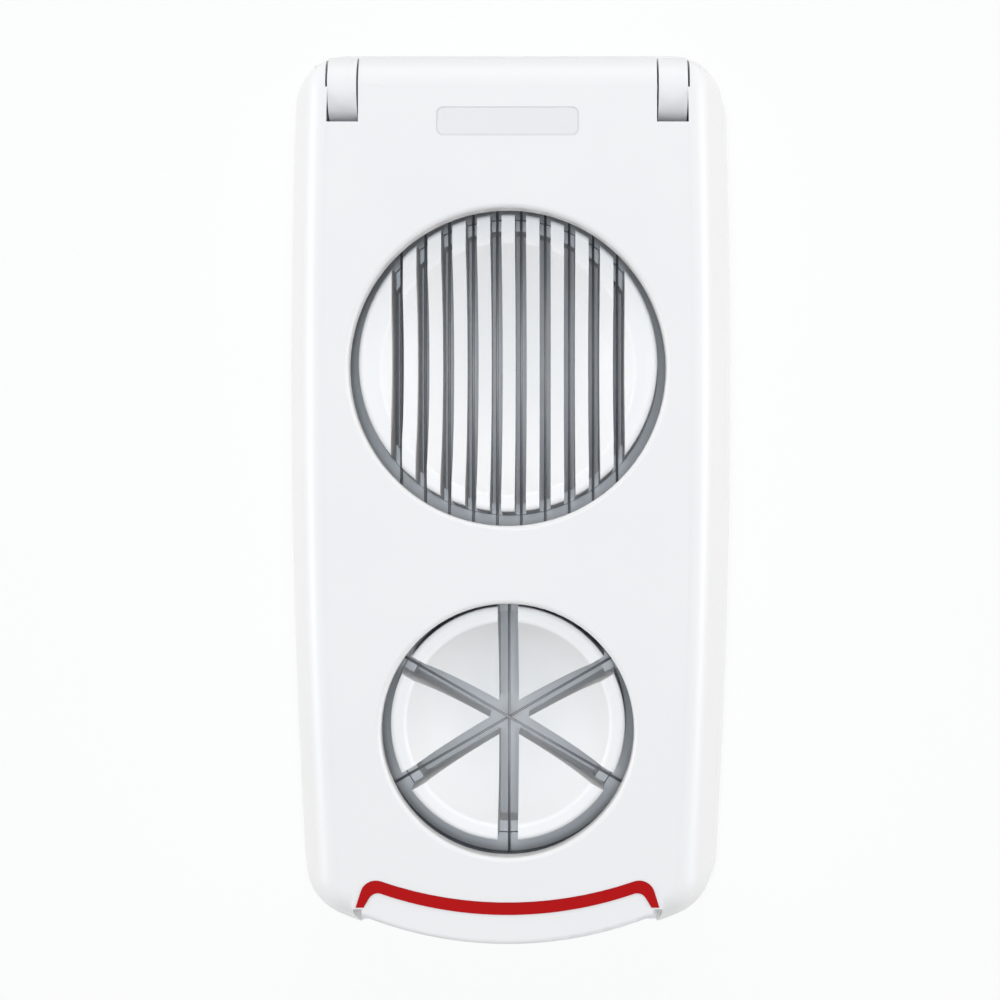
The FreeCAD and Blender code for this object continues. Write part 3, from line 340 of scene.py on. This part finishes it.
class SlicerSizes(bpy.types.PropertyGroup):
    """Sizes of the lid's sides and of its bare plate, as in the part's own sizes."""

    side_radius: length_property("Side radius", "Radius of the bowed sides at the parting line", 1.735)
    widest: length_property("Widest place", "Y where the lid is widest", 0.02415)
    side_front: length_property("Side front", "Y where a side meets its front corner", -0.0789)
    side_rear: length_property("Side rear", "Y where a side meets its rear corner", 0.0804)
    lid_lean: length_property("Lid lean", "How far the sides lean in over the lid's height", 0.005)
    lid_edge: length_property("Lid edge", "Radius of the rounded upper edge", 0.0045)
    plate_length: length_property("Plate length", "Length of the bare plate", 0.0286)
    plate_width: length_property("Plate width", "Width of the bare plate", 0.0058)
    plate_corner: length_property("Plate corner", "Radius of the bare plate's corners", 0.0014)
    plate_depth: length_property("Plate depth", "Depth of the bare plate's recess", 0.0003)
    plate_middle: length_property("Plate middle", "Y of the middle of the bare plate", 0.07325)
    plate_bevel: length_property("Plate bevel", "Width of the bevel round the bare plate", 0.0004)
    plate_rise: length_property("Plate rise", "How far the bare plate rises in its recess", 0.00025)


def place_property(name, description, default):
    """A point in metres, flat or in space, that a user can set."""
    return bpy.props.FloatVectorProperty(name=name, description=description, default=default,
                                         size=len(default), subtype="XYZ", unit="LENGTH")


def power_property(name, description, default):
    """A lamp's power in watts that a user can set."""
    return bpy.props.FloatProperty(name=name, description=description, default=default,
                                   subtype="POWER", unit="POWER", min=0.0)


class SlicerStudio(bpy.types.PropertyGroup):
    """Camera, lamps and floor of the studio."""

    camera_height: length_property("Camera height", "Height of the camera over the floor", 0.436)
    camera_foot: place_property("Camera foot", "Place on the floor straight below the camera",
                                (0.0085, -0.00655))
    view_centre: place_property("View centre", "Place on the lid in the middle of the picture",
                                (-0.0015, -0.00255))
    view_width: length_property("View width", "Width of the picture at the height of the lid", 0.2)
    lamp_aim: place_property("Lamp aim", "Point that every lamp is turned towards", (0.0, 0.0, 0.02))
    top_place: place_property("Top lamp place", "Place of the lamp that lights the slots", (0.0, 0.0, 1.3))
    top_size: length_property("Top lamp size", "Width of the top lamp", 0.3)
    top_power: power_property("Top lamp power", "Power of the top lamp", 7.0)
    top_colour: colour_property("Top lamp colour", "Cool colour of the top lamp", (0.80, 0.91, 1.0))
    rear_place: place_property("Rear lamp place", "Place of the lamp behind the hinge", (0.0, 0.7, 0.4))
    rear_size: length_property("Rear lamp size", "Width of the rear lamp", 0.6)
    rear_power: power_property("Rear lamp power", "Power of the rear lamp", 1.5)
    side_place: place_property("Side lamp place", "Place of the right lamp, which the left one mirrors",
                               (0.8, 0.05, 0.2))
    side_size: length_property("Side lamp size", "Width of each side lamp", 0.5)
    side_power: power_property("Side lamp power", "Power of each side lamp", 2.8)
    lamp_colour: colour_property("Lamp colour", "Colour of the rear and side lamps", (1.0, 1.0, 1.0))
    sky_colour: colour_property("Sky colour", "Warm colour of the even light", (1.0, 0.955, 0.91))
    sky_strength: bpy.props.FloatProperty(
        name="Sky", description="Strength of the even light from all round", default=0.42, min=0.0)
    floor_width: length_property("Floor width", "Width of the floor", 6.0)
    floor_colour: colour_property("Floor", "Pale colour of the floor", (0.94, 0.94, 0.94))
    floor_white: bpy.props.FloatProperty(
        name="Floor white", description="Share of plain white in what the camera sees of the floor",
        default=0.85, min=0.0, max=1.0)


class EGG_OT_shells(bpy.types.Operator):
    """Give the lid and the base their white moulded plastic"""

    bl_idname = "egg.shells"
    bl_label = "Lid and base"

    def execute(self, context):
        look = context.scene.egg_finish
        white = plastic("white shell plastic", look.shell_colour, look.shell_flow)
        dress(SHELLS, white)
        for name, side in (("lid_side_left", -1), ("lid_side_right", 1)):
            side_skin(name, side, context.scene.egg_sizes, white)
        return {"FINISHED"}


class EGG_OT_plate(bpy.types.Operator):
    """Lay the bare plate into its recess on the lid"""

    bl_idname = "egg.plate"
    bl_label = "Bare plate"

    def execute(self, context):
        look = context.scene.egg_finish
        matt = plastic("plate plastic", look.plate_colour, look.plate_flow, grain=1800.0, gloss=0.5)
        bare_plate("bare_plate", context.scene.egg_sizes, matt)
        return {"FINISHED"}


class EGG_OT_cups(bpy.types.Operator):
    """Give the two slotted cups their white moulded plastic"""

    bl_idname = "egg.cups"
    bl_label = "Slotted cups"

    def execute(self, context):
        look = context.scene.egg_finish
        dress(CUPS, plastic("white cup plastic", look.cup_colour, look.cup_flow, gloss=0.36))
        return {"FINISHED"}


class EGG_OT_wire_frame(bpy.types.Operator):
    """Give the frame that carries the wires its grey moulded plastic, darkened as painted shade for the gap
    round each opening in the lid
    """

    bl_idname = "egg.wire_frame"
    bl_label = "Wire frame"

    def execute(self, context):
        look = context.scene.egg_finish
        # Painted shade: the frame's dark grey plastic stands in for the shade in the gap round each opening
        dress(("wire_frame",), plastic("frame plastic in painted shade", look.frame_painted_shade, look.frame_painted_shade_flow, gloss=0.42))
        return {"FINISHED"}


class EGG_OT_strip(bpy.types.Operator):
    """Give the strip behind the tab its red moulded plastic"""

    bl_idname = "egg.strip"
    bl_label = "Red strip"

    def execute(self, context):
        look = context.scene.egg_finish
        red = plastic("red strip plastic", look.strip_colour, look.strip_flow, gloss=0.4, specular=0.15)
        dress(("grip_inlay",), red)
        return {"FINISHED"}


class EGG_OT_steel(bpy.types.Operator):
    """Give the wires and the hinge pins their drawn steel, with lines along each of them"""

    bl_idname = "egg.steel"
    bl_label = "Wires and pins"

    def execute(self, context):
        look = context.scene.egg_finish
        across = math.pi / len(WEDGING_WIRES)
        dress(PINS, steel("pin steel", look.pin_colour, look.pin_lines, 0.0))
        dress(SLICING_WIRES, steel("slicing wire steel", look.wire_colour, look.wire_lines, math.pi / 2))
        for number, name in enumerate(WEDGING_WIRES):
            turn = across * (number + 0.5)
            dress((name,), steel(f"{name} steel", look.wire_colour, look.wire_lines, turn))
        return {"FINISHED"}


class EGG_OT_feet(bpy.types.Operator):
    """Give the feet their grey rubber"""

    bl_idname = "egg.feet"
    bl_label = "Feet"

    def execute(self, context):
        look = context.scene.egg_finish
        rubber = plastic("foot rubber", look.foot_colour, look.foot_flow, grain=1500.0, gloss=0.7, bump=0.4)
        dress(FEET, rubber)
        return {"FINISHED"}


def add_lamp(name, place, aim, size, power, colour):
    """A square area lamp at a place, turned towards a point."""
    data = bpy.data.lights.new(name, "AREA")
    data.shape = "SQUARE"
    data.size = size
    data.energy = power
    data.color = colour
    lamp = bpy.data.objects.new(name, data)
    lamp.location = place
    lamp.rotation_euler = (Vector(aim) - Vector(place)).to_track_quat("-Z", "Y").to_euler()
    bpy.context.scene.collection.objects.link(lamp)
    return lamp


def seen_directly(tree):
    """1 for rays that carry a picture of the backdrop: from the camera, a gloss or a glass."""
    path = tree.nodes.new("ShaderNodeLightPath")
    either = math_node(tree, "MAXIMUM", path.outputs["Is Camera Ray"], path.outputs["Is Glossy Ray"])
    return math_node(tree, "MAXIMUM", either, path.outputs["Is Transmission Ray"])


def set_sky(strength, colour):
    """A world that lights evenly in a colour and shows white."""
    world = bpy.data.worlds.new("studio sky")
    world.use_nodes = True
    tree = world.node_tree
    tree.nodes.clear()
    sky = tree.nodes.new("ShaderNodeBackground")
    out = tree.nodes.new("ShaderNodeOutputWorld")
    shown = seen_directly(tree)
    tree.links.new(mix_colours(tree, shown, (*colour, 1.0), (1.0, 1.0, 1.0, 1.0)), sky.inputs["Color"])
    rest = math_node(tree, "SUBTRACT", 1.0, shown)
    level = math_node(tree, "ADD", shown, math_node(tree, "MULTIPLY", rest, strength))
    tree.links.new(level, sky.inputs["Strength"])
    tree.links.new(sky.outputs["Background"], out.inputs["Surface"])
    bpy.context.scene.world = world


def add_floor(width, colour, share):
    """A pale floor that keeps a soft shadow; a share of what the camera sees of it is plain white."""
    half = width / 2
    mesh = bpy.data.meshes.new("studio_floor")
    mesh.from_pydata([(-half, -half, 0.0), (half, -half, 0.0), (half, half, 0.0), (-half, half, 0.0)],
                     [], [(0, 1, 2, 3)])
    floor = bpy.data.objects.new("studio_floor", mesh)
    bpy.context.scene.collection.objects.link(floor)
    material = bpy.data.materials.new("studio floor")
    material.use_nodes = True
    tree = material.node_tree
    tree.nodes.clear()
    matt = add_node(tree, "ShaderNodeBsdfDiffuse", Color=(*colour, 1.0))
    white = add_node(tree, "ShaderNodeEmission", Color=(1.0, 1.0, 1.0, 1.0), Strength=1.0)
    blend = tree.nodes.new("ShaderNodeMixShader")
    out = tree.nodes.new("ShaderNodeOutputMaterial")
    tree.links.new(math_node(tree, "MULTIPLY", seen_directly(tree), share), blend.inputs[0])
    tree.links.new(matt.outputs["BSDF"], blend.inputs[1])
    tree.links.new(white.outputs["Emission"], blend.inputs[2])
    tree.links.new(blend.outputs["Shader"], out.inputs["Surface"])
    mesh.materials.append(material)
    return floor


def keep_off(lamp, floor):
    """Light linking that leaves the floor out of a lamp's light, which would end in an edge across it."""
    left_out = bpy.data.collections.new(f"{lamp.name} left out")
    left_out.objects.link(floor)
    left_out.collection_objects[0].light_linking.link_state = "EXCLUDE"
    lamp.light_linking.receiver_collection = left_out


def add_camera(studio):
    """A camera that looks straight down, shifted so that the lid keeps its shape in the picture."""
    data = bpy.data.cameras.new("photo_camera")
    lid_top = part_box("lid_shell")[1].z
    distance = studio.camera_height - lid_top
    data.sensor_width = SENSOR_WIDTH
    data.lens = SENSOR_WIDTH * distance / studio.view_width
    data.shift_x = (studio.view_centre[0] - studio.camera_foot[0]) / studio.view_width
    data.shift_y = (studio.view_centre[1] - studio.camera_foot[1]) / studio.view_width
    data.clip_start = CLIP_START
    camera = bpy.data.objects.new("photo_camera", data)
    camera.location = (*studio.camera_foot, studio.camera_height)
    bpy.context.scene.collection.objects.link(camera)
    bpy.context.scene.camera = camera


class EGG_OT_studio(bpy.types.Operator):
    """Set up the camera, the lamps, the sky and the floor"""

    bl_idname = "egg.studio"
    bl_label = "Studio"

    def execute(self, context):
        studio = context.scene.egg_studio
        aim = studio.lamp_aim
        plain = studio.lamp_colour
        add_camera(studio)
        set_sky(studio.sky_strength, studio.sky_colour)
        floor = add_floor(studio.floor_width, studio.floor_colour, studio.floor_white)
        cool = studio.top_colour
        top = add_lamp("top_lamp", studio.top_place, aim, studio.top_size, studio.top_power, cool)
        top.visible_glossy = False
        add_lamp("rear_lamp", studio.rear_place, aim, studio.rear_size, studio.rear_power, plain)
        for name, side in (("left_lamp", -1), ("right_lamp", 1)):
            place = Vector((side, 1, 1)) * Vector(studio.side_place)
            keep_off(add_lamp(name, place, aim, studio.side_size, studio.side_power, plain), floor)
        context.scene.view_settings.view_transform = "Standard"
        return {"FINISHED"}


OPERATORS = (EGG_OT_shells, EGG_OT_plate, EGG_OT_cups, EGG_OT_wire_frame, EGG_OT_strip, EGG_OT_steel,
             EGG_OT_feet, EGG_OT_studio)


class EGG_PT_panel(bpy.types.Panel):
    """Lists the finishes of the egg slicer"""

    bl_idname = "EGG_PT_panel"
    bl_label = "Egg slicer"
    bl_space_type = "VIEW_3D"
    bl_region_type = "UI"
    bl_category = "Egg slicer"

    def draw(self, context):
        for operator in OPERATORS:
            self.layout.operator(operator.bl_idname)


CLASSES = (SlicerFinish, SlicerSizes, SlicerStudio, *OPERATORS, EGG_PT_panel)


def register():
    """Make the classes known to Blender and hang the settings on the scene."""
    for item in CLASSES:
        bpy.utils.register_class(item)
    bpy.types.Scene.egg_finish = bpy.props.PointerProperty(type=SlicerFinish)
    bpy.types.Scene.egg_sizes = bpy.props.PointerProperty(type=SlicerSizes)
    bpy.types.Scene.egg_studio = bpy.props.PointerProperty(type=SlicerStudio)


def unregister():
    """Take the settings off the scene and the classes out of Blender."""
    del bpy.types.Scene.egg_finish
    del bpy.types.Scene.egg_sizes
    del bpy.types.Scene.egg_studio
    for item in reversed(CLASSES):
        bpy.utils.unregister_class(item)


def main():
    """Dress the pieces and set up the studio."""
    register()
    bpy.ops.egg.shells()
    bpy.ops.egg.plate()
    bpy.ops.egg.cups()
    bpy.ops.egg.wire_frame()
    bpy.ops.egg.strip()
    bpy.ops.egg.steel()
    bpy.ops.egg.feet()
    bpy.ops.egg.studio()


if __name__ == "__main__":
    main()
